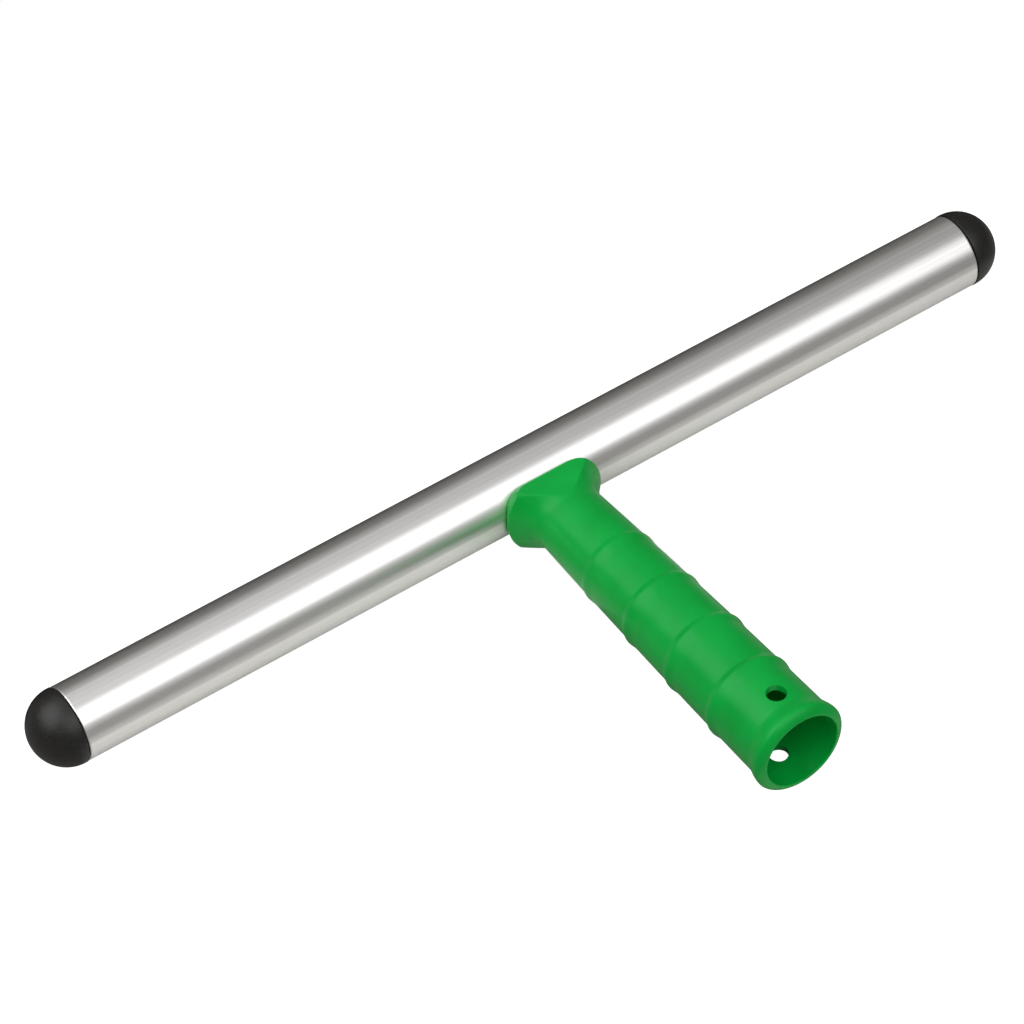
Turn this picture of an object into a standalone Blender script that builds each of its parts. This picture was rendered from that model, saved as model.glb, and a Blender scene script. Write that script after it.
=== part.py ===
"""Washer T-bar for window cleaning.

An aluminium tube carries a rounded plug in each end. A moulded handle with an open pole socket hugs the
middle of the tube, and a screw at the bottom of the socket draws it onto a threaded insert in the tube's
wall. All sizes are in metres. The tube lies along X, the handle points to -Y, and the object's lowest
point is at Z = 0. A "station" is a distance from the tube's axis along the handle.
"""

import math

import bmesh
import bpy
from mathutils import Vector

# Clearance left between touching pieces
GAP = 0.0003

# Tube
TUBE_LENGTH = 0.350
TUBE_RADIUS = 0.0130
TUBE_WALL = 0.00125
TUBE_CHAMFER = 0.0005

# End plugs
PLUG_PROUD = 0.00015
PLUG_SHOULDER = 0.0010
PLUG_DOME = 0.0130
PLUG_SPIGOT = 0.0180
PLUG_WALL = 0.0024
PLUG_RIBS = 3
PLUG_RIB_DEPTH = 0.0008
PLUG_RIB_WIDTH = 0.0024

# Saddle: the wide end of the handle that hugs the tube
SADDLE_RADIUS = 0.0182
SADDLE_CORNER = 0.0028
SADDLE_CREASE = 0.0010
SADDLE_CORNER_RUN = 0.0026
SADDLE_BAND = 0.0015
SADDLE_DRAFT = math.radians(14)
SADDLE_WRAP = math.radians(46.5)
SADDLE_FOOT_ROUNDING = 0.0095
SADDLE_FLARE = 0.0103

# Grip, from the neck to the lip
HANDLE_LENGTH = 0.1350
NECK_RADIUS = 0.0124
GRIP_END_RADIUS = 0.01545
GRIP_BOW = 0.6
RIDGE_COUNT = 4
RIDGE_FIRST = 0.0377
RIDGE_PITCH = 0.0231
RIDGE_FLANK = 0.0024
RIDGE_RUN = 0.0056
RIDGE_LOWEST = 0.00042
RIDGE_GROWTH = 0.00009
RIDGE_FADE = 4

# Lip round the mouth of the socket
LIP_LENGTH = 0.0084
LIP_CREST = 0.0025
LIP_RADIUS = 0.0166
LIP_NOSE = 0.0014
LIP_FLAT = 0.00045
MOUTH_CHAMFER = 0.0002

# Pole socket and the hole for the pole's catch
SOCKET_MOUTH_RADIUS = 0.01335
SOCKET_FLOOR_RADIUS = 0.0102
FLOOR_THICKNESS = 0.0190
CATCH_HOLE_RADIUS = 0.0033
CATCH_HOLE_INSET = 0.0130

# Fixing screw, its washer and the threaded insert in the tube
SCREW_RADIUS = 0.0025
SCREW_HEAD_RADIUS = 0.00475
SCREW_HEAD_HEIGHT = 0.0032
SCREW_HEAD_EDGE = 0.0012
RECESS_SPAN = 0.0050
RECESS_WIDTH = 0.0010
RECESS_DEPTH = 0.0018
WASHER_RADIUS = 0.0058
WASHER_THICKNESS = 0.0010
INSERT_WALL = 0.0007
INSERT_FLANGE_WIDTH = 0.0015
INSERT_FLANGE_THICKNESS = 0.0008
INSERT_LENGTH = 0.0110
INSERT_BULGE_WIDTH = 0.0012
INSERT_BULGE_LENGTH = 0.0024

# Facets round each kind of piece
HANDLE_FACETS = 60
TUBE_FACETS = 80
PLUG_FACETS = 40
SMALL_FACETS = 32

# Steps along each curved outline
DOME_STEPS = 12
FOOT_STEPS = 16
FLARE_STEPS = 8
GRIP_STEPS = 2
RIDGE_FLANK_STEPS = 3
RIDGE_RUN_STEPS = 4
LIP_STEPS = 6
SCREW_HEAD_STEPS = 6

# Shares of the tube's radius between which the faces of the saddle's two edges point at the tube's axis
EDGE_FACE_START = 0.95
EDGE_FACE_END = 1.5

# Largest share of an edge's length that the rounding of its corner may take
MOST_ROUNDING = 0.95

# Sizes that follow from the ones above
TUBE_INNER = TUBE_RADIUS - TUBE_WALL
PLUG_RADIUS = TUBE_RADIUS + PLUG_PROUD
SPIGOT_RADIUS = TUBE_INNER - GAP
MOUTH = TUBE_RADIUS + HANDLE_LENGTH
LIP_START = MOUTH - LIP_LENGTH
LIP_RISE = LIP_LENGTH - LIP_CREST
BAND_END = TUBE_RADIUS + SADDLE_BAND
FLARE_END = BAND_END + SADDLE_FLARE
FLAT_HALF_WIDTH = math.sqrt(SADDLE_RADIUS**2 - NECK_RADIUS**2)
FOOT_REACH = TUBE_RADIUS * SADDLE_WRAP
FOOT_ROUNDING = min(SADDLE_FOOT_ROUNDING, MOST_ROUNDING * FOOT_REACH)
FLOOR = TUBE_RADIUS + FLOOR_THICKNESS
CATCH_HOLE = MOUTH - CATCH_HOLE_INSET
INSERT_BORE = SCREW_RADIUS + GAP
INSERT_RADIUS = INSERT_BORE + INSERT_WALL
FLANGE_RADIUS = INSERT_RADIUS + INSERT_FLANGE_WIDTH
FLANGE_SEAT = TUBE_RADIUS + GAP
FLANGE_TOP = FLANGE_SEAT + INSERT_FLANGE_THICKNESS
INSERT_END = FLANGE_TOP - INSERT_LENGTH
HEAD_SEAT = FLOOR + WASHER_THICKNESS + 2 * GAP
CUTTER_REACH = 3 * TUBE_RADIUS

ALUMINIUM = ("drawn_aluminium", (0.66, 0.66, 0.65), 0.32, 1.0)
GREEN_PLASTIC = ("green_plastic", (0.003, 0.36, 0.045), 0.42, 0.0)
BLACK_PLASTIC = ("black_plastic", (0.022, 0.020, 0.018), 0.55, 0.0)
STEEL = ("zinc_plated_steel", (0.58, 0.58, 0.56), 0.35, 1.0)


def clear_scene():
    """Start from an empty scene."""
    for obj in list(bpy.data.objects):
        bpy.data.objects.remove(obj, do_unlink=True)


def material(name, colour, roughness, metallic):
    """A Principled material, made once and then shared."""
    found = bpy.data.materials.get(name)
    if found:
        return found
    made = bpy.data.materials.new(name)
    made.use_nodes = True
    shader = made.node_tree.nodes["Principled BSDF"]
    shader.inputs["Base Color"].default_value = (*colour, 1.0)
    shader.inputs["Roughness"].default_value = roughness
    shader.inputs["Metallic"].default_value = metallic
    return made


def add_object(name, bm, parent=None, finish=None):
    """Turn a bmesh into an object whose faces point outwards and whose round faces are smooth."""
    bmesh.ops.remove_doubles(bm, verts=bm.verts, dist=1e-7)
    bmesh.ops.recalc_face_normals(bm, faces=bm.faces)
    mesh = bpy.data.meshes.new(name)
    bm.to_mesh(mesh)
    bm.free()
    mesh.shade_smooth()
    mesh.set_sharp_from_angle(angle=math.radians(35))
    obj = bpy.data.objects.new(name, mesh)
    bpy.context.scene.collection.objects.link(obj)
    obj.parent = parent
    if finish:
        mesh.materials.append(material(*finish))
    return obj


def turned(profile, facets):
    """Spin a profile of (radius, height) points about Z. Its two ends meet, or both lie on the axis."""
    bm = bmesh.new()
    verts = [bm.verts.new((radius, 0.0, height)) for radius, height in profile]
    edges = [bm.edges.new(pair) for pair in zip(verts, verts[1:])]
    if profile[0][0] > 0.0:
        edges.append(bm.edges.new((verts[-1], verts[0])))
    bmesh.ops.spin(
        bm,
        geom=verts + edges,
        cent=(0, 0, 0),
        axis=(0, 0, 1),
        angle=2 * math.pi,
        steps=facets,
        use_merge=True,
    )
    return bm


def rod(radius, low, high, facets):
    """A plain cylinder about Z."""
    return turned([(0.0, low), (radius, low), (radius, high), (0.0, high)], facets)


def aimed(bm, direction):
    """Turn a shape that was made along Z to lie along another direction."""
    turn = Vector((0, 0, 1)).rotation_difference(direction).to_matrix()
    bmesh.ops.rotate(bm, verts=bm.verts, matrix=turn)
    return bm


def cut(target, name, bm):
    """Cut a shape, given in the target's own coordinates, out of the target."""
    cutter = add_object(name, bm, parent=target)
    cutter.hide_render = True
    cutter.display_type = "WIRE"
    boolean = target.modifiers.new(name, "BOOLEAN")
    boolean.operation = "DIFFERENCE"
    boolean.solver = "EXACT"
    boolean.object = cutter


def arc(centre, radii, start, end, steps):
    """Points of an elliptical arc in (radius, height) coordinates, both ends included."""
    angles = [start + (end - start) * k / steps for k in range(steps + 1)]
    return [(centre[0] + radii[0] * math.cos(a), centre[1] + radii[1] * math.sin(a)) for a in angles]


def curve(start, corner, end, steps):
    """Points of a curve that leaves start towards corner and reaches end from there, without start itself."""
    shares = [k / steps for k in range(1, steps + 1)]
    weights = [((1 - s) ** 2, 2 * s * (1 - s), s**2) for s in shares]
    return [tuple(a * p + b * q + c * r for p, q, r in zip(start, corner, end)) for a, b, c in weights]


def smooth(share):
    """An even rise from 0 to 1 that is level at both ends."""
    share = min(max(share, 0.0), 1.0)
    return share * share * (3 - 2 * share)


def point_along_handle(part, station):
    """Stand a part that was made along Z on the handle's axis, facing the mouth."""
    part.rotation_euler = (math.pi / 2, 0, 0)
    part.location = (0, -station, 0)


def make_tube(parent):
    """Drawn tube with chamfered ends, and the hole for the threaded insert on the handle's side."""
    end = TUBE_LENGTH / 2
    profile = [
        (TUBE_RADIUS - TUBE_CHAMFER, -end),
        (TUBE_RADIUS, TUBE_CHAMFER - end),
        (TUBE_RADIUS, end - TUBE_CHAMFER),
        (TUBE_RADIUS - TUBE_CHAMFER, end),
        (TUBE_INNER, end),
        (TUBE_INNER, -end),
    ]
    tube = add_object("tube", turned(profile, TUBE_FACETS), parent, ALUMINIUM)
    tube.rotation_euler = (0, math.pi / 2, 0)
    hole = rod(INSERT_RADIUS + GAP, 0.0, CUTTER_REACH, SMALL_FACETS)
    cut(tube, "cutter_insert_hole", aimed(hole, (0, -1, 0)))


def plug_profile():
    """Half outline of a plug, from the pole of its dome to the open end of its hollow spigot."""
    outside = [(0.0, PLUG_SHOULDER + PLUG_DOME)]
    outside += arc((0, PLUG_SHOULDER), (PLUG_RADIUS, PLUG_DOME), math.pi / 2, 0, DOME_STEPS)[1:]
    outside += [(PLUG_RADIUS, GAP)]
    root = SPIGOT_RADIUS - PLUG_RIB_DEPTH
    outside += [(root, GAP)]
    pitch = PLUG_SPIGOT / PLUG_RIBS
    for rib in range(PLUG_RIBS):
        start = -pitch * (rib + 1) + PLUG_RIB_WIDTH
        outside += [(root, start), (SPIGOT_RADIUS, start), (root, start - PLUG_RIB_WIDTH)]
    core = root - PLUG_WALL
    return outside + [(core, -PLUG_SPIGOT), (core, -PLUG_WALL), (0.0, -PLUG_WALL)]


def make_plugs(parent):
    """The same moulded plug pressed into each end of the tube."""
    right = add_object("end_plug_right", turned(plug_profile(), PLUG_FACETS), parent, BLACK_PLASTIC)
    left = bpy.data.objects.new("end_plug_left", right.data)
    bpy.context.scene.collection.objects.link(left)
    left.parent = parent
    for plug, side in ((right, 1), (left, -1)):
        plug.location = (side * TUBE_LENGTH / 2, 0, 0)
        plug.rotation_euler = (0, side * math.pi / 2, 0)


def ridge_stations():
    """Where the crests of the finger ridges lie, as far as they fit before the lip."""
    crests = [TUBE_RADIUS + RIDGE_FIRST + RIDGE_PITCH * k for k in range(RIDGE_COUNT)]
    return [crest for crest in crests if crest + RIDGE_RUN < LIP_START]


def ridge_share(past):
    """Share of a ridge's height at a distance past its crest: a short rise, then a fall that levels out."""
    if past < 0:
        return smooth(1 + past / RIDGE_FLANK)
    share = min(past / RIDGE_RUN, 1.0)
    return (1 - share) ** RIDGE_FADE * (1 + RIDGE_FADE * share)


def grip_radius(station):
    """Radius of the neck and grip: a bowed cone with the saddle's flare, the ridges and the lip's rise."""
    share = min(max((station - FLARE_END) / (LIP_START - FLARE_END), 0.0), 1.0)
    radius = NECK_RADIUS + (GRIP_END_RADIUS - NECK_RADIUS) * share * (1 + GRIP_BOW - GRIP_BOW * share)
    flare = min(max((FLARE_END - station) / SADDLE_FLARE, 0.0), 1.0)
    radius += math.hypot(NECK_RADIUS, FLAT_HALF_WIDTH * flare) - NECK_RADIUS
    radius -= max(BAND_END - station, 0.0) * math.tan(SADDLE_DRAFT)
    for number, crest in enumerate(ridge_stations()):
        radius += (RIDGE_LOWEST + RIDGE_GROWTH * number) * ridge_share(station - crest)
    rise = smooth((station - LIP_START) / LIP_RISE)
    return radius + (LIP_RADIUS - GRIP_END_RADIUS) * rise


def flattened(radius, half_height, corner, angle):
    """Distance from the axis to a circle that is flattened above and below, with rounded corners."""
    if half_height >= radius:
        return radius
    corner = min(corner, half_height / 2)
    centre_y = half_height - corner
    centre_x = math.sqrt((radius - corner) ** 2 - centre_y**2)
    x, y = abs(math.cos(angle)), abs(math.sin(angle))
    if y * centre_x <= x * centre_y:
        return radius
    if y * centre_x >= x * half_height:
        return half_height / y
    along = centre_x * x + centre_y * y
    return along + math.sqrt(along**2 - centre_x**2 - centre_y**2 + corner**2)


def outer_ring(station):
    """Points round the handle's outside at one station. The saddle's two flats are level with the neck."""
    sharper = smooth((station - BAND_END) / SADDLE_CORNER_RUN)
    corner = SADDLE_CORNER + (SADDLE_CREASE - SADDLE_CORNER) * sharper
    half_height = NECK_RADIUS if station < FLARE_END else LIP_RADIUS
    angles = [2 * math.pi * k / HANDLE_FACETS for k in range(HANDLE_FACETS)]
    reach = [flattened(grip_radius(station), half_height, corner, a) for a in angles]
    return [(r * math.cos(a), r * math.sin(a), station) for r, a in zip(reach, angles)]


def round_ring(radius, station):
    """A circle of points about the handle's axis."""
    angles = [2 * math.pi * k / HANDLE_FACETS for k in range(HANDLE_FACETS)]
    return [(radius * math.cos(a), radius * math.sin(a), station) for a in angles]


def outer_stations():
    """Stations of the outside, close together where it curves most."""
    found = [0.0, BAND_END]
    found += [BAND_END + SADDLE_FLARE * k / FLARE_STEPS for k in range(1, FLARE_STEPS + 1)]
    for crest in ridge_stations():
        foot = crest - RIDGE_FLANK
        before = found[-1]
        found += [before + (foot - before) * k / GRIP_STEPS for k in range(1, GRIP_STEPS + 1)]
        found += [foot + RIDGE_FLANK * k / RIDGE_FLANK_STEPS for k in range(1, RIDGE_FLANK_STEPS + 1)]
        found += [crest + RIDGE_RUN * k / RIDGE_RUN_STEPS for k in range(1, RIDGE_RUN_STEPS + 1)]
    found += [LIP_START + LIP_RISE * k / LIP_STEPS for k in range(LIP_STEPS + 1)]
    return found


def handle_rings():
    """All rings of the handle, along the outside to the mouth and back down the socket to its floor."""
    rings = [outer_ring(station) for station in outer_stations()]
    flat_inner = SOCKET_MOUTH_RADIUS + MOUTH_CHAMFER
    crest = (LIP_RADIUS, MOUTH - LIP_CREST)
    points = curve(crest, (LIP_RADIUS, MOUTH - LIP_NOSE), (flat_inner + LIP_FLAT, MOUTH), LIP_STEPS)
    points += [(flat_inner, MOUTH), (SOCKET_MOUTH_RADIUS, MOUTH - MOUTH_CHAMFER)]
    points += [(SOCKET_FLOOR_RADIUS, FLOOR)]
    return rings + [round_ring(*point) for point in points]


def lofted(rings):
    """Join rings of equal count into a closed skin with a flat cap at each end."""
    bm = bmesh.new()
    loops = [[bm.verts.new(point) for point in ring] for ring in rings]
    for near, far in zip(loops, loops[1:]):
        for k, vert in enumerate(near):
            bm.faces.new((near[k - 1], vert, far[k], far[k - 1]))
    bm.faces.new(loops[0])
    bm.faces.new(loops[-1])
    return bm


def saddle_edge(x):
    """Angle round the tube at which the saddle ends: the same all along, but rounded off at its corners."""
    past = min(max(abs(x) + FOOT_ROUNDING - SADDLE_RADIUS, 0.0), FOOT_ROUNDING)
    return (FOOT_REACH - FOOT_ROUNDING + math.sqrt(FOOT_ROUNDING**2 - past**2)) / TUBE_RADIUS


def past_saddle_ring(x):
    """Outline, at one place along the tube, of all that lies past the saddle's two edges."""
    y, z = math.sin(saddle_edge(x)), math.cos(saddle_edge(x))
    near, far = EDGE_FACE_START * TUBE_RADIUS, EDGE_FACE_END * TUBE_RADIUS
    upper = [(0, 0), (near * y, near * z), (far * y, far * z), (CUTTER_REACH, -CUTTER_REACH)]
    return [(x, *point) for point in upper] + [(x, -y, z) for y, z in reversed(upper[1:])]


def past_saddle():
    """The space past the saddle's edges, in the handle's own coordinates."""
    turns = [math.pi / 2 * k / FOOT_STEPS for k in range(FOOT_STEPS + 1)]
    right = [SADDLE_RADIUS - FOOT_ROUNDING * (1 - math.sin(turn)) for turn in turns] + [CUTTER_REACH]
    left = [-x for x in reversed(right)]
    bm = lofted([past_saddle_ring(x) for x in left + right])
    bmesh.ops.triangulate(bm, faces=bm.faces)
    return bm


def make_handle(parent):
    """One moulding: saddle, neck, ridged grip, lip and socket."""
    handle = add_object("handle", lofted(handle_rings()), parent, GREEN_PLASTIC)
    point_along_handle(handle, 0)
    seat = rod(TUBE_RADIUS + GAP, -CUTTER_REACH, CUTTER_REACH, TUBE_FACETS)
    cut(handle, "cutter_tube_seat", aimed(seat, (1, 0, 0)))
    cut(handle, "cutter_saddle_edges", past_saddle())
    cut(handle, "cutter_insert_pocket", rod(FLANGE_RADIUS + GAP, 0.0, FLANGE_TOP + GAP, SMALL_FACETS))
    cut(handle, "cutter_screw_hole", rod(SCREW_RADIUS + GAP, 0.0, FLOOR + GAP, SMALL_FACETS))
    catch = aimed(rod(CATCH_HOLE_RADIUS, -CUTTER_REACH, CUTTER_REACH, SMALL_FACETS), (0, 1, 0))
    bmesh.ops.translate(catch, verts=catch.verts, vec=(0, 0, CATCH_HOLE))
    cut(handle, "cutter_catch_hole", catch)


def make_insert(parent):
    """Threaded insert: a flange on the tube, a barrel through its wall and a clenched bulge inside."""
    bulge = INSERT_RADIUS + INSERT_BULGE_WIDTH
    bulge_top = math.sqrt(TUBE_INNER**2 - bulge**2) - GAP - FLANGE_SEAT
    end = INSERT_END - FLANGE_SEAT
    profile = [
        (INSERT_BORE, INSERT_FLANGE_THICKNESS),
        (FLANGE_RADIUS, INSERT_FLANGE_THICKNESS),
        (FLANGE_RADIUS, 0.0),
        (INSERT_RADIUS, 0.0),
        (INSERT_RADIUS, bulge_top),
        (bulge, bulge_top - INSERT_BULGE_LENGTH / 3),
        (bulge, bulge_top - INSERT_BULGE_LENGTH * 2 / 3),
        (INSERT_RADIUS, bulge_top - INSERT_BULGE_LENGTH),
        (INSERT_RADIUS, end),
        (INSERT_BORE, end),
    ]
    insert = add_object("threaded_insert", turned(profile, SMALL_FACETS), parent, STEEL)
    point_along_handle(insert, FLANGE_SEAT)


def make_washer(parent):
    """Flat washer on the floor of the socket."""
    hole = SCREW_RADIUS + GAP
    profile = [
        (hole, WASHER_THICKNESS),
        (WASHER_RADIUS, WASHER_THICKNESS),
        (WASHER_RADIUS, 0.0),
        (hole, 0.0),
    ]
    washer = add_object("screw_washer", turned(profile, SMALL_FACETS), parent, STEEL)
    point_along_handle(washer, FLOOR + GAP)


def make_screw(parent):
    """Pan head screw from the socket's floor to the end of the insert."""
    crown_radii = (SCREW_HEAD_RADIUS, SCREW_HEAD_HEIGHT - SCREW_HEAD_EDGE)
    tip = INSERT_END - HEAD_SEAT
    profile = [(0.0, SCREW_HEAD_HEIGHT)]
    profile += arc((0, SCREW_HEAD_EDGE), crown_radii, math.pi / 2, 0, SCREW_HEAD_STEPS)[1:]
    profile += [(SCREW_HEAD_RADIUS, 0.0), (SCREW_RADIUS, 0.0)]
    profile += [(SCREW_RADIUS, tip + SCREW_RADIUS / 3), (SCREW_RADIUS * 2 / 3, tip), (0.0, tip)]
    screw = add_object("fixing_screw", turned(profile, SMALL_FACETS), parent, STEEL)
    point_along_handle(screw, HEAD_SEAT)
    for number, (across, along) in enumerate(((RECESS_SPAN, RECESS_WIDTH), (RECESS_WIDTH, RECESS_SPAN))):
        slot = bmesh.new()
        bmesh.ops.create_cube(slot, size=1.0)
        bmesh.ops.scale(slot, verts=slot.verts, vec=(across, along, 2 * RECESS_DEPTH))
        bmesh.ops.translate(slot, verts=slot.verts, vec=(0, 0, SCREW_HEAD_HEIGHT))
        cut(screw, f"cutter_recess_{number}", slot)


def main():
    clear_scene()
    assembly = bpy.data.objects.new("assembly", None)
    bpy.context.scene.collection.objects.link(assembly)
    assembly.location = (0, (MOUTH - PLUG_RADIUS) / 2, LIP_RADIUS)
    make_tube(assembly)
    make_plugs(assembly)
    make_handle(assembly)
    make_insert(assembly)
    make_washer(assembly)
    make_screw(assembly)


main()
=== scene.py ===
"""Looks for the washer T-bar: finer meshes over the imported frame, materials, floor, lights and camera.

All sizes are in metres, apart from the camera's lens and sensor, which are in millimetres.
The tube lies along X, the handle points to -Y, and the floor is at Z = 0.
"""

import math

import bmesh
import bpy
from mathutils import Matrix, Vector


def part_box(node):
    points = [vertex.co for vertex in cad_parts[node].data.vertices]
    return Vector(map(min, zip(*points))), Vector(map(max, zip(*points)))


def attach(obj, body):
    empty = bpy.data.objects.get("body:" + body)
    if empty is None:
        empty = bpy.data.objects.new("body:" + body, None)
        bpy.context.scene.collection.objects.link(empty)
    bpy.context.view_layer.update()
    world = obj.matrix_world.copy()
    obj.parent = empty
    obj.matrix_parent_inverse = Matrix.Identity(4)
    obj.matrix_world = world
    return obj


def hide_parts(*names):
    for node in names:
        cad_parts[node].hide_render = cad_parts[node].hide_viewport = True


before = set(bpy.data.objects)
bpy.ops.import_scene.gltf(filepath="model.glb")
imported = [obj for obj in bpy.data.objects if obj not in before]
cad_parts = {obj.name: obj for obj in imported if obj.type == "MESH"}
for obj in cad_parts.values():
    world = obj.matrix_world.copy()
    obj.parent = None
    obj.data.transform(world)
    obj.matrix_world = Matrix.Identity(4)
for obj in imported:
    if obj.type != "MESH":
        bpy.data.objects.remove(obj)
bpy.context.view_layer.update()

# Camera, worked out from the outlines in the photograph
CAMERA_PLACE = Vector((-0.566576, -0.866361, 1.131287))
CAMERA_RIGHT = Vector((0.823181, -0.564635, -0.059675))
CAMERA_UP = Vector((0.441541, 0.570535, 0.692482))
CAMERA_BACK = Vector((-0.356953, -0.596387, 0.718963))
SENSOR_WIDTH = 36.0
LENS = 168.594
CLIP_START = 0.05
CLIP_END = 20.0

# Surroundings: an axis that leans to the front, and the tones from level to overhead about it
TENT_UP = (0.0, -0.2, 1.0)
TENT = [
    (0.0, (0.115, 0.11, 0.10)),
    (0.2, (0.13, 0.125, 0.115)),
    (0.48, (0.30, 0.295, 0.285)),
    (0.66, (0.265, 0.26, 0.25)),
    (0.85, (0.32, 0.315, 0.31)),
]
WHITE = (1.0, 1.0, 1.0, 1.0)

# Softboxes: name, place, size and strength
SOFTBOXES = [
    ("key", (0.15, -0.96, 1.21), (1.74, 1.28), 1.56),
    ("side", (-0.94, 0.38, 1.22), (1.6, 1.35), 2.2),
    ("top", (0.05, 0.50, 1.38), (1.1, 1.5), 0.33),
]

# Floor and reflection cards: name, centre, width, depth and colour
FLOOR = ("floor", (0, 0, 0), 3.0, 3.0, (0.33, 0.325, 0.31))
CARD_HEIGHT = 0.0005
CARDS = [
    ("dark_card", (0.05, 0.27, CARD_HEIGHT), 0.50, 0.34, (0.03, 0.03, 0.03)),
    ("pale_card", (0.015, 0.040, CARD_HEIGHT), 0.38, 0.044, (0.77, 0.77, 0.74)),
    ("mouth_card", (0.01, -0.105, CARD_HEIGHT), 0.07, 0.05, (0.80, 0.80, 0.77)),
]
SHEET_ROUGHNESS = 0.9

# Colours of the finishes, each from the darkest to the palest
ALUMINIUM = ((0.79, 0.775, 0.755), (0.935, 0.935, 0.94))
GREEN = ((0.0005, 0.350, 0.041), (0.001, 0.402, 0.052))
BLACK = ((0.003, 0.0028, 0.0025), (0.018, 0.017, 0.015))
ZINC = ((0.50, 0.50, 0.48), (0.66, 0.66, 0.64))

# Gloss of the green plastic, and the factor that draws marks out along the tube
GREEN_GLOSS = 0.25
GREEN_GLOSS_TINT = (0.75, 1.0, 1.0, 1.0)
DRAWN_OUT = 0.0005

# Clearance left between touching pieces
GAP = 0.0003

# Sizes that follow from the frame, with places on the handle counted from the tube's axis
TUBE_LOW, TUBE_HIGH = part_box("tube")
TUBE_CENTRE = (TUBE_LOW + TUBE_HIGH) / 2
TUBE_RADIUS = (TUBE_HIGH.z - TUBE_LOW.z) / 2
TUBE_END = TUBE_HIGH.x - TUBE_CENTRE.x
HANDLE_LOW, HANDLE_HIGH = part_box("handle")
MOUTH = TUBE_CENTRE.y - HANDLE_LOW.y
LIP_RADIUS = (HANDLE_HIGH.z - HANDLE_LOW.z) / 2
INSERT_LOW, INSERT_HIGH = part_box("threaded_insert")
POCKET_RADIUS = (INSERT_HIGH.x - INSERT_LOW.x) / 2 + GAP
POCKET_END = TUBE_CENTRE.y - INSERT_LOW.y + GAP
SOCKET_FLOOR = TUBE_CENTRE.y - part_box("screw_washer")[1].y - GAP
PLUG_LOW, PLUG_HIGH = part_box("end_plug_right")
PLUG_RADIUS = (PLUG_HIGH.z - PLUG_LOW.z) / 2
PLUG_TIP = PLUG_HIGH.x - TUBE_HIGH.x
PLUG_SPIGOT = TUBE_HIGH.x - PLUG_LOW.x

# Tube
TUBE_WALL = 0.00125
TUBE_EDGE = 0.0005
TUBE_EDGE_SUPPORT = 0.0003
TUBE_INNER = TUBE_RADIUS - TUBE_WALL
INSERT_HOLE_RADIUS = 0.0038

# End plugs, with heights counted outwards from the tube's end
PLUG_POLE = 0.00005
PLUG_SHOULDER = 0.0010
PLUG_RIM = 0.00025
PLUG_WALL = 0.0024
PLUG_RIBS = 3
PLUG_RIB_DEPTH = 0.0008
PLUG_RIB_WIDTH = 0.0024
SPIGOT_RADIUS = TUBE_INNER - GAP

# Saddle: the wide end of the handle that hugs the tube
SADDLE_RADIUS = 0.0182
SADDLE_CORNER = 0.0028
SADDLE_CREASE = 0.0014
SADDLE_CORNER_RUN = 0.0026
SADDLE_BAND = 0.0015
SADDLE_DRAFT = math.radians(14)
SADDLE_WRAP = math.radians(46.5)
SADDLE_FOOT_ROUNDING = 0.0095
SADDLE_FLARE = 0.0103
BAND_END = TUBE_RADIUS + SADDLE_BAND
FLARE_END = BAND_END + SADDLE_FLARE
FOOT_REACH = TUBE_RADIUS * SADDLE_WRAP

# Grip, from the neck to the lip
NECK_RADIUS = 0.0124
GRIP_END_RADIUS = 0.01545
GRIP_BOW = 0.6
FLAT_HALF_WIDTH = math.sqrt(SADDLE_RADIUS**2 - NECK_RADIUS**2)
RIDGE_COUNT = 4
RIDGE_FIRST = 0.0377
RIDGE_PITCH = 0.0231
RIDGE_FLANK = 0.0024
RIDGE_RUN = 0.0056
RIDGE_LOWEST = 0.00042
RIDGE_GROWTH = 0.00009
RIDGE_FADE = 4
RIDGES = [TUBE_RADIUS + RIDGE_FIRST + RIDGE_PITCH * k for k in range(RIDGE_COUNT)]

# Lip round the mouth of the socket
LIP_LENGTH = 0.0084
LIP_CREST = 0.0025
LIP_NOSE = 0.0014
LIP_FLAT = 0.0006
MOUTH_CHAMFER = 0.0002
LIP_START = MOUTH - LIP_LENGTH
LIP_RISE = LIP_LENGTH - LIP_CREST

# Pole socket, the hole for the pole's catch and the screw's hole
SOCKET_MOUTH_RADIUS = 0.01335
SOCKET_FLOOR_RADIUS = 0.0102
SCREW_HOLE_RADIUS = 0.0028
CATCH_HOLE_RADIUS = 0.0033
CATCH_HOLE_INSET = 0.0130
CATCH_HOLE = MOUTH - CATCH_HOLE_INSET
HOLE_EDGE = 0.0004

# Reach of the cutters, and the cut face along the saddle's edge in radii of the tube
CUTTER_REACH = 3 * TUBE_RADIUS
BORE_REACH = 2 * TUBE_END
EDGE_FACE_START = 0.95
EDGE_FACE_END = 1.5

# Mesh density
RING_SPACING = 0.0005
SIDE_STEPS = 26
CORNER_STEPS = 8
FLAT_STEPS = 10
LAST_CREASE_ANGLE = math.radians(70)
LEAST_CORNER_ANGLE = math.radians(3)
ROUND_FACETS = 256
HOLE_FACETS = 64
DOME_STEPS = 40
EDGE_STEPS = 4
LIP_STEPS = 12
FOOT_STEPS = 32
SHARP_ANGLE = math.radians(32)


def new_material(name):
    """A new material, with its node tree and its Principled shader."""
    material = bpy.data.materials.new(name)
    material.use_nodes = True
    return material, material.node_tree, material.node_tree.nodes["Principled BSDF"]


def add_node(tree, kind, inputs=None, **settings):
    """Add a node, set its options and its unlinked inputs."""
    node = tree.nodes.new(kind)
    for key, value in settings.items():
        setattr(node, key, value)
    for key, value in (inputs or {}).items():
        node.inputs[key].default_value = value
    return node


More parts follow.
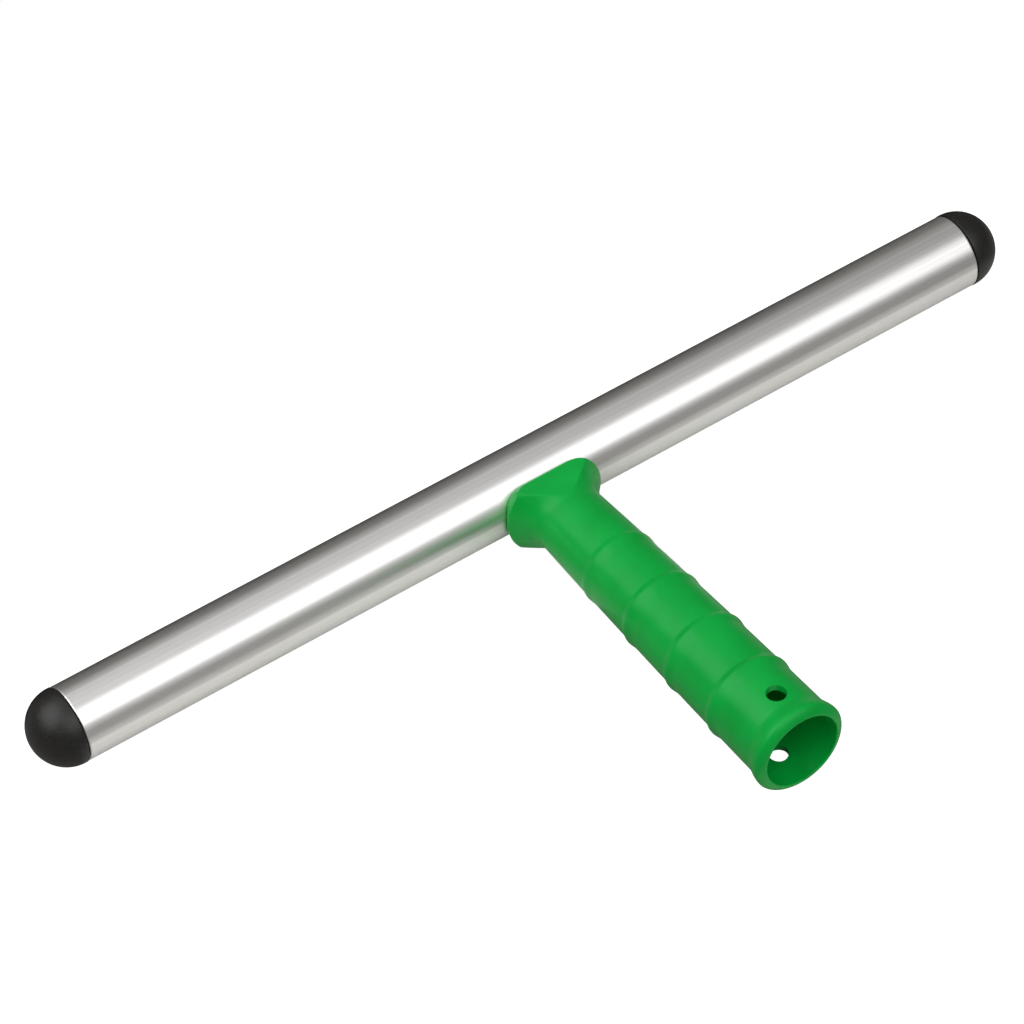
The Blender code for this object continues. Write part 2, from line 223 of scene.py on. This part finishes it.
def ramp(tree, factor, stops):
    """A colour ramp through (place, colour) stops, driven by a socket."""
    node = tree.nodes.new("ShaderNodeValToRGB")
    points = node.color_ramp.elements
    while len(points) < len(stops):
        points.new(0.5)
    for point, (place, colour) in zip(points, stops):
        point.position = place
        point.color = (*colour, 1.0)
    tree.links.new(factor, node.inputs["Fac"])
    return node.outputs["Color"]


def noise(tree, vector, scale, detail=2.0, roughness=0.5):
    """Noise over a coordinate socket, with scale in features per metre."""
    inputs = {"Scale": scale, "Detail": detail, "Roughness": roughness}
    node = add_node(tree, "ShaderNodeTexNoise", inputs)
    tree.links.new(vector, node.inputs["Vector"])
    return node.outputs["Fac"]


def vary_colour(tree, shader, pattern, colours, start, end):
    """Colour a shader from the first colour to the second as a pattern runs from start to end."""
    colour = ramp(tree, pattern, list(zip((start, end), colours)))
    tree.links.new(colour, shader.inputs["Base Color"])


def vary_roughness(tree, shader, pattern, low, high):
    """Spread a shader's roughness from low to high as a pattern runs from 0 to 1."""
    node = add_node(tree, "ShaderNodeMapRange", {"To Min": low, "To Max": high})
    tree.links.new(pattern, node.inputs["Value"])
    tree.links.new(node.outputs["Result"], shader.inputs["Roughness"])


def bump(tree, shader, height, distance, strength=1.0):
    """Bump the shader's surface by a height socket, with distance in metres."""
    node = add_node(tree, "ShaderNodeBump", {"Strength": strength, "Distance": distance})
    tree.links.new(height, node.inputs["Height"])
    tree.links.new(node.outputs["Normal"], shader.inputs["Normal"])


def place_in_metres(tree):
    """Coordinates of the surface in its object's own frame."""
    return add_node(tree, "ShaderNodeTexCoord").outputs["Object"]


def with_number(tree, operation, value, number):
    """A socket's value after one step of arithmetic with a fixed number."""
    node = add_node(tree, "ShaderNodeMath", {1: number}, operation=operation)
    tree.links.new(value, node.inputs[0])
    return node.outputs["Value"]


def round_the_tube(tree):
    """Coordinates unrolled from the tube: the distance along it, drawn out, and the distance round it."""
    split = add_node(tree, "ShaderNodeSeparateXYZ")
    tree.links.new(place_in_metres(tree), split.inputs["Vector"])
    y = with_number(tree, "SUBTRACT", split.outputs["Y"], TUBE_CENTRE.y)
    z = with_number(tree, "SUBTRACT", split.outputs["Z"], TUBE_CENTRE.z)
    angle = add_node(tree, "ShaderNodeMath", operation="ARCTAN2")
    tree.links.new(y, angle.inputs[0])
    tree.links.new(z, angle.inputs[1])
    length = with_number(tree, "MULTIPLY", split.outputs["X"], DRAWN_OUT)
    girth = with_number(tree, "MULTIPLY", angle.outputs["Value"], TUBE_RADIUS)
    join = add_node(tree, "ShaderNodeCombineXYZ")
    tree.links.new(length, join.inputs["X"])
    tree.links.new(girth, join.inputs["Y"])
    return join.outputs["Vector"]


def drawn_aluminium():
    """Bare aluminium with the fine lengthwise lines of drawing, and broader bands of tone."""
    material, tree, shader = new_material("drawn_aluminium_look")
    place = round_the_tube(tree)
    lines = noise(tree, place, scale=2600.0, detail=4.0, roughness=0.6)
    bands = noise(tree, place, scale=800.0, detail=4.0, roughness=0.6)
    vary_colour(tree, shader, bands, ALUMINIUM, start=0.35, end=0.65)
    vary_roughness(tree, shader, lines, low=0.28, high=0.40)
    shader.inputs["Metallic"].default_value = 1.0
    bump(tree, shader, lines, distance=0.00002)
    return material


def green_plastic():
    """Moulded green plastic with a fine matt grain and slight wear."""
    material, tree, shader = new_material("green_plastic_look")
    place = place_in_metres(tree)
    mottle = noise(tree, place, scale=90.0, detail=3.0)
    grain = noise(tree, place, scale=2800.0)
    vary_colour(tree, shader, mottle, GREEN, start=0.3, end=0.7)
    vary_roughness(tree, shader, mottle, low=0.30, high=0.38)
    shader.inputs["Specular IOR Level"].default_value = GREEN_GLOSS
    shader.inputs["Specular Tint"].default_value = GREEN_GLOSS_TINT
    bump(tree, shader, grain, distance=0.00002, strength=0.5)
    return material


def black_plastic():
    """Moulded black plastic with a faint pale speckle."""
    material, tree, shader = new_material("black_plastic_look")
    speckle = noise(tree, place_in_metres(tree), scale=1500.0, detail=3.0, roughness=0.7)
    vary_colour(tree, shader, speckle, BLACK, start=0.4, end=0.75)
    vary_roughness(tree, shader, speckle, low=0.36, high=0.52)
    bump(tree, shader, speckle, distance=0.00004, strength=0.6)
    return material


def zinc_plated_steel():
    """Bright zinc plating, slightly cloudy."""
    material, tree, shader = new_material("zinc_plated_steel_look")
    cloud = noise(tree, place_in_metres(tree), scale=700.0, detail=3.0)
    vary_colour(tree, shader, cloud, ZINC, start=0.3, end=0.7)
    vary_roughness(tree, shader, cloud, low=0.28, high=0.42)
    shader.inputs["Metallic"].default_value = 1.0
    return material


def lofted(rings):
    """Join rings of equal count into a closed skin with a flat cap at each end."""
    bm = bmesh.new()
    loops = [[bm.verts.new(point) for point in ring] for ring in rings]
    for near, far in zip(loops, loops[1:]):
        for k, vert in enumerate(near):
            bm.faces.new((near[k - 1], vert, far[k], far[k - 1]))
    bm.faces.new(loops[0])
    bm.faces.new(loops[-1])
    return bm


def turned(profile, facets):
    """A closed skin turned about Z from a profile of (radius, height) points, flat at both ends.

    Its facets, not its edges, lie across the axes, so that no cut runs along another piece's edge.
    """
    angles = [2 * math.pi * (k + 0.5) / facets for k in range(facets)]
    return lofted([[(r * math.cos(a), r * math.sin(a), h) for a in angles] for r, h in profile])


def rod(radius, start, end, facets):
    """A round rod along Z, from one height to another."""
    return turned([(radius, start), (radius, end)], facets)


def both_halves(upper):
    """A whole profile from its upper half, mirrored about height zero."""
    return [(radius, -height) for radius, height in reversed(upper)] + upper


def aimed(bm, direction):
    """Turn a shape that was made along Z to lie along another direction."""
    turn = Vector((0, 0, 1)).rotation_difference(Vector(direction)).to_matrix()
    bmesh.ops.rotate(bm, verts=bm.verts, matrix=turn)
    return bm


def plain_object(name, bm):
    """Turn a bmesh into an object with outward faces."""
    bmesh.ops.recalc_face_normals(bm, faces=bm.faces)
    mesh = bpy.data.meshes.new(name)
    bm.to_mesh(mesh)
    bm.free()
    piece = bpy.data.objects.new(name, mesh)
    bpy.context.scene.collection.objects.link(piece)
    return piece


def cut_out(piece, cutters):
    """Cut closed shapes out of a piece."""
    helpers = []
    for bm in cutters:
        helper = plain_object("cutter", bm)
        boolean = piece.modifiers.new("cut", "BOOLEAN")
        boolean.operation = "DIFFERENCE"
        boolean.solver = "EXACT"
        boolean.object = helper
        helpers.append(helper)
    depsgraph = bpy.context.evaluated_depsgraph_get()
    piece.data = bpy.data.meshes.new_from_object(piece.evaluated_get(depsgraph))
    piece.modifiers.clear()
    for helper in helpers:
        bpy.data.objects.remove(helper)


def held(value, low, high):
    """A value held between two bounds."""
    return min(max(value, low), high)


def spaced(start, end, spacing):
    """Places from start to end, both included, about one spacing apart."""
    count = max(1, round((end - start) / spacing))
    return [start + (end - start) * k / count for k in range(count + 1)]


def smooth(share):
    """An even rise from 0 to 1 that is level at both ends."""
    share = held(share, 0.0, 1.0)
    return share * share * (3 - 2 * share)


def arc(centre, radii, start, end, steps):
    """Points of an elliptical arc in (radius, height) coordinates, both ends included."""
    angles = [start + (end - start) * k / steps for k in range(steps + 1)]
    return [(centre[0] + radii[0] * math.cos(a), centre[1] + radii[1] * math.sin(a)) for a in angles]


def curve(start, corner, end, steps):
    """Points of a curve that leaves start towards corner and reaches end, without start itself."""
    shares = [k / steps for k in range(1, steps + 1)]
    weights = [((1 - s) ** 2, 2 * s * (1 - s), s**2) for s in shares]
    return [tuple(a * p + b * q + c * r for p, q, r in zip(start, corner, end)) for a, b, c in weights]


def ridge_share(past):
    """Share of a ridge's height at a distance past its crest: a short rise, then a fall that levels out."""
    if past < 0:
        return smooth(1 + past / RIDGE_FLANK)
    share = min(past / RIDGE_RUN, 1.0)
    return (1 - share) ** RIDGE_FADE * (1 + RIDGE_FADE * share)


def grip_radius(station):
    """Radius of the neck and grip: a bowed cone with the saddle's flare, the ridges and the lip's rise."""
    share = held((station - FLARE_END) / (LIP_START - FLARE_END), 0.0, 1.0)
    radius = NECK_RADIUS + (GRIP_END_RADIUS - NECK_RADIUS) * share * (1 + GRIP_BOW - GRIP_BOW * share)
    flare = held((FLARE_END - station) / SADDLE_FLARE, 0.0, 1.0)
    radius += math.hypot(NECK_RADIUS, FLAT_HALF_WIDTH * flare) - NECK_RADIUS
    radius -= max(BAND_END - station, 0.0) * math.tan(SADDLE_DRAFT)
    for number, crest in enumerate(RIDGES):
        radius += (RIDGE_LOWEST + RIDGE_GROWTH * number) * ridge_share(station - crest)
    rise = smooth((station - LIP_START) / LIP_RISE)
    return radius + (LIP_RADIUS - GRIP_END_RADIUS) * rise


def quarter_angles(corner_from, corner_to):
    """Polar angles over a quarter turn, with steps of their own over the flat's rounded corner."""
    corner_from = min(corner_from, LAST_CREASE_ANGLE)
    last_corner_to = LAST_CREASE_ANGLE + LEAST_CORNER_ANGLE
    corner_to = held(corner_to, corner_from + LEAST_CORNER_ANGLE, last_corner_to)
    marks = (0.0, corner_from, corner_to, math.pi / 2)
    found = [0.0]
    for low, high, steps in zip(marks, marks[1:], (SIDE_STEPS, CORNER_STEPS, FLAT_STEPS)):
        found += [low + (high - low) * k / steps for k in range(1, steps + 1)]
    return found


def whole_ring(quarter):
    """A closed ring from its first quarter, mirrored to the left and then below."""
    half = quarter + [(-x, y, z) for x, y, z in reversed(quarter[:-1])]
    return half + [(x, -y, z) for x, y, z in reversed(half[1:-1])]


def outer_ring(station):
    """Points round the handle's outside at one station. The saddle's two flats are level with the neck."""
    radius = grip_radius(station)
    sharper = smooth((station - BAND_END) / SADDLE_CORNER_RUN)
    corner = SADDLE_CORNER + (SADDLE_CREASE - SADDLE_CORNER) * sharper
    flat = station < FLARE_END and radius > NECK_RADIUS
    centre_y = NECK_RADIUS - corner
    centre_x = math.sqrt((radius - corner) ** 2 - centre_y**2) if flat else 0.0
    corner_from = math.atan2(centre_y, centre_x)
    corner_to = math.atan2(NECK_RADIUS, centre_x)
    quarter = []
    for angle in quarter_angles(corner_from, corner_to):
        x, y = math.cos(angle), math.sin(angle)
        reach = radius
        if flat and angle >= corner_to:
            reach = NECK_RADIUS / y
        elif flat and angle > corner_from:
            along = centre_x * x + centre_y * y
            reach = along + math.sqrt(along**2 - centre_x**2 - centre_y**2 + corner**2)
        quarter.append((reach * x, reach * y, station))
    return whole_ring(quarter)


def round_ring(radius, station):
    """A circle of points about the handle's axis, spaced like the outside's."""
    angles = quarter_angles(math.pi / 2, math.pi / 2)
    return whole_ring([(radius * math.cos(a), radius * math.sin(a), station) for a in angles])


def handle_rings():
    """All rings of the handle, along the outside to the mouth and back down the socket to its floor.

    What lies before the saddle's edges is cut away, so one ring on the tube's axis leads up to them.
    """
    marks = [BAND_END, FLARE_END, LIP_START, LIP_START + LIP_RISE]
    edges = TUBE_RADIUS * math.cos(SADDLE_WRAP)
    stations = [0.0] + spaced(edges - RING_SPACING, marks[0], RING_SPACING)
    for low, high in zip(marks, marks[1:]):
        stations += spaced(low, high, RING_SPACING)[1:]
    rings = [outer_ring(station) for station in stations]
    flat_inner = SOCKET_MOUTH_RADIUS + MOUTH_CHAMFER
    crest = (LIP_RADIUS, MOUTH - LIP_CREST)
    nose = (LIP_RADIUS, MOUTH - LIP_NOSE)
    points = curve(crest, nose, (flat_inner + LIP_FLAT, MOUTH), LIP_STEPS)
    points += [(flat_inner, MOUTH), (SOCKET_MOUTH_RADIUS, MOUTH - MOUTH_CHAMFER)]
    points += [(SOCKET_FLOOR_RADIUS, SOCKET_FLOOR)]
    return rings + [round_ring(*point) for point in points]


def saddle_edge(x):
    """Angle round the tube at which the saddle ends: the same all along, but rounded off at its corners."""
    past = held(abs(x) + SADDLE_FOOT_ROUNDING - SADDLE_RADIUS, 0.0, SADDLE_FOOT_ROUNDING)
    rounded = math.sqrt(SADDLE_FOOT_ROUNDING**2 - past**2)
    return (FOOT_REACH - SADDLE_FOOT_ROUNDING + rounded) / TUBE_RADIUS


def past_saddle_ring(x):
    """Outline, at one place along the tube, of all that lies past the saddle's two edges."""
    y, z = math.sin(saddle_edge(x)), math.cos(saddle_edge(x))
    near, far = EDGE_FACE_START * TUBE_RADIUS, EDGE_FACE_END * TUBE_RADIUS
    upper = [(0, 0), (near * y, near * z), (far * y, far * z), (CUTTER_REACH, -CUTTER_REACH)]
    return [(x, *point) for point in upper] + [(x, -y, z) for y, z in reversed(upper[1:])]


def past_saddle():
    """The space past the saddle's edges."""
    turns = [math.pi / 2 * k / FOOT_STEPS for k in range(FOOT_STEPS + 1)]
    right = [SADDLE_RADIUS - SADDLE_FOOT_ROUNDING * (1 - math.sin(turn)) for turn in turns] + [CUTTER_REACH]
    left = [-x for x in reversed(right)]
    bm = lofted([past_saddle_ring(x) for x in left + right])
    bmesh.ops.triangulate(bm, faces=bm.faces)
    return bm


def catch_hole():
    """The hole through both walls for the pole's catch, with eased rims."""
    rim = grip_radius(CATCH_HOLE)
    rim_centre = (CATCH_HOLE_RADIUS + HOLE_EDGE, rim - HOLE_EDGE)
    eased = arc(rim_centre, (HOLE_EDGE, HOLE_EDGE), math.pi, math.pi / 2, EDGE_STEPS)
    upper = eased + [(CATCH_HOLE_RADIUS + HOLE_EDGE, CUTTER_REACH)]
    bm = aimed(turned(both_halves(upper), HOLE_FACETS), (0, 1, 0))
    bmesh.ops.translate(bm, verts=bm.verts, vec=(0, 0, CATCH_HOLE))
    return bm


def add_piece(piece, node, look):
    """Let a piece stand for a CAD node, with its finish."""
    piece.data.materials.clear()
    piece.data.materials.append(look)
    piece.data.shade_smooth()
    piece.data.set_sharp_from_angle(angle=SHARP_ANGLE)
    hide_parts(node)
    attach(piece, "root")


def tube_profile():
    """Half outline of the tube's outside, from just before its eased edge to its end."""
    straight_end = TUBE_END - TUBE_EDGE
    edge_centre = (TUBE_RADIUS - TUBE_EDGE, straight_end)
    edge = arc(edge_centre, (TUBE_EDGE, TUBE_EDGE), 0.0, math.pi / 2, EDGE_STEPS)
    return [(TUBE_RADIUS, straight_end - TUBE_EDGE_SUPPORT)] + edge


def add_tube(look):
    """The drawn tube, with eased ends and the hole for the insert."""
    body = turned(both_halves(tube_profile()), ROUND_FACETS)
    piece = plain_object("tube_body", aimed(body, (1, 0, 0)))
    bore = rod(TUBE_INNER, -BORE_REACH, BORE_REACH, ROUND_FACETS)
    insert_hole = rod(INSERT_HOLE_RADIUS, 0.0, CUTTER_REACH, HOLE_FACETS)
    cut_out(piece, [aimed(bore, (1, 0, 0)), aimed(insert_hole, (0, -1, 0))])
    piece.data.transform(Matrix.Translation(TUBE_CENTRE))
    add_piece(piece, "tube", look)


def plug_profile():
    """Half outline of a plug: dome, eased rim, ribbed spigot and the hollow inside it."""
    dome_radii = (PLUG_RADIUS, PLUG_TIP - PLUG_SHOULDER)
    rim_centre = (PLUG_RADIUS - PLUG_RIM, GAP + PLUG_RIM)
    outline = [(PLUG_POLE, PLUG_TIP)]
    outline += arc((0, PLUG_SHOULDER), dome_radii, math.pi / 2, 0, DOME_STEPS)[1:]
    outline += arc(rim_centre, (PLUG_RIM, PLUG_RIM), 0, -math.pi / 2, EDGE_STEPS)
    root = SPIGOT_RADIUS - PLUG_RIB_DEPTH
    outline += [(root, GAP)]
    for rib in range(PLUG_RIBS):
        start = -PLUG_SPIGOT * (rib + 1) / PLUG_RIBS + PLUG_RIB_WIDTH
        outline += [(root, start), (SPIGOT_RADIUS, start), (root, start - PLUG_RIB_WIDTH)]
    core = root - PLUG_WALL
    return outline + [(core, -PLUG_SPIGOT), (core, -PLUG_WALL)]


def add_plugs(look):
    """The same moulded plug at each end of the tube."""
    for name, side in (("left", -1), ("right", 1)):
        piece = plain_object("plug_moulding_" + name, turned(plug_profile(), ROUND_FACETS))
        place = Matrix.Translation(TUBE_CENTRE + Vector((side * TUBE_END, 0, 0)))
        piece.data.transform(place @ Matrix.Rotation(side * math.pi / 2, 4, "Y"))
        add_piece(piece, "end_plug_" + name, look)


def add_handle(look):
    """One moulding: saddle, neck, ridged grip, lip and socket."""
    piece = plain_object("handle_moulding", lofted(handle_rings()))
    seat = rod(TUBE_RADIUS + GAP, -CUTTER_REACH, CUTTER_REACH, ROUND_FACETS)
    pocket = rod(POCKET_RADIUS, 0.0, POCKET_END, HOLE_FACETS)
    screw_hole = rod(SCREW_HOLE_RADIUS, 0.0, SOCKET_FLOOR + GAP, HOLE_FACETS)
    cut_out(piece, [aimed(seat, (1, 0, 0)), past_saddle(), pocket, screw_hole, catch_hole()])
    piece.data.transform(Matrix.Translation(TUBE_CENTRE) @ Matrix.Rotation(math.pi / 2, 4, "X"))
    add_piece(piece, "handle", look)


def give_finishes(look):
    """Give the small steel pieces their finish. They keep the shapes of the frame."""
    for name in ("fixing_screw", "screw_washer", "threaded_insert"):
        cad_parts[name].material_slots[0].material = look


def add_sheet(name, centre, width, depth, colour):
    """A flat matt sheet that isn't part of the object."""
    x, y, z = centre
    half_x, half_y = width / 2, depth / 2
    corners = [(x - half_x, y - half_y, z), (x + half_x, y - half_y, z)]
    corners += [(x + half_x, y + half_y, z), (x - half_x, y + half_y, z)]
    mesh = bpy.data.meshes.new(name)
    mesh.from_pydata(corners, [], [(0, 1, 2, 3)])
    sheet = bpy.data.objects.new(name, mesh)
    bpy.context.scene.collection.objects.link(sheet)
    material, tree, shader = new_material(name + "_look")
    shader.inputs["Base Color"].default_value = (*colour, 1.0)
    shader.inputs["Roughness"].default_value = SHEET_ROUGHNESS
    shader.inputs["Specular IOR Level"].default_value = 0.0
    mesh.materials.append(material)
    return sheet, tree, shader


def add_floor():
    """A plain floor that looks white, and throws back less light than it seems to."""
    tree, shader = add_sheet(*FLOOR)[1:]
    shader.inputs["Emission Color"].default_value = WHITE
    seen = add_node(tree, "ShaderNodeLightPath").outputs["Is Camera Ray"]
    tree.links.new(seen, shader.inputs["Emission Strength"])


def add_cards():
    """A dark card behind the tube, and pale ones under it and before the mouth, hidden from the camera."""
    for details in CARDS:
        card = add_sheet(*details)[0]
        card.visible_camera = False


def add_softbox(name, place, size, strength):
    """An area light at a place, facing the object.

    Its power grows with its area, so that its brightness depends on its strength alone.
    """
    data = bpy.data.lights.new(name, "AREA")
    data.shape = "RECTANGLE"
    data.size, data.size_y = size
    data.energy = strength * size[0] * size[1] * math.pi
    light = bpy.data.objects.new(name, data)
    bpy.context.scene.collection.objects.link(light)
    light.location = place
    light.rotation_mode = "QUATERNION"
    light.rotation_quaternion = Vector(place).to_track_quat("Z", "Y")


def add_world():
    """Soft surroundings, brighter overhead and in front, that look white from the camera."""
    world = bpy.data.worlds.new("surroundings")
    bpy.context.scene.world = world
    world.use_nodes = True
    tree = world.node_tree
    height = add_node(tree, "ShaderNodeVectorMath", {1: TENT_UP}, operation="DOT_PRODUCT")
    tree.links.new(add_node(tree, "ShaderNodeTexCoord").outputs["Generated"], height.inputs[0])
    tent = tree.nodes["Background"]
    tree.links.new(ramp(tree, height.outputs["Value"], TENT), tent.inputs["Color"])
    white = add_node(tree, "ShaderNodeBackground", {"Color": WHITE})
    mixed = add_node(tree, "ShaderNodeMixShader")
    tree.links.new(add_node(tree, "ShaderNodeLightPath").outputs["Is Camera Ray"], mixed.inputs["Fac"])
    tree.links.new(tent.outputs["Background"], mixed.inputs[1])
    tree.links.new(white.outputs["Background"], mixed.inputs[2])
    tree.links.new(mixed.outputs["Shader"], tree.nodes["World Output"].inputs["Surface"])


def add_camera():
    """The photograph's viewpoint."""
    data = bpy.data.cameras.new("camera")
    data.sensor_width = SENSOR_WIDTH
    data.lens = LENS
    data.clip_start = CLIP_START
    data.clip_end = CLIP_END
    camera = bpy.data.objects.new("camera", data)
    bpy.context.scene.collection.objects.link(camera)
    turn = Matrix((CAMERA_RIGHT, CAMERA_UP, CAMERA_BACK)).transposed().to_4x4()
    camera.matrix_world = Matrix.Translation(CAMERA_PLACE) @ turn
    bpy.context.scene.camera = camera


bpy.context.scene.view_settings.view_transform = "Standard"
give_finishes(zinc_plated_steel())
add_tube(drawn_aluminium())
add_plugs(black_plastic())
add_handle(green_plastic())
add_floor()
add_cards()
for softbox in SOFTBOXES:
    add_softbox(*softbox)
add_world()
add_camera()
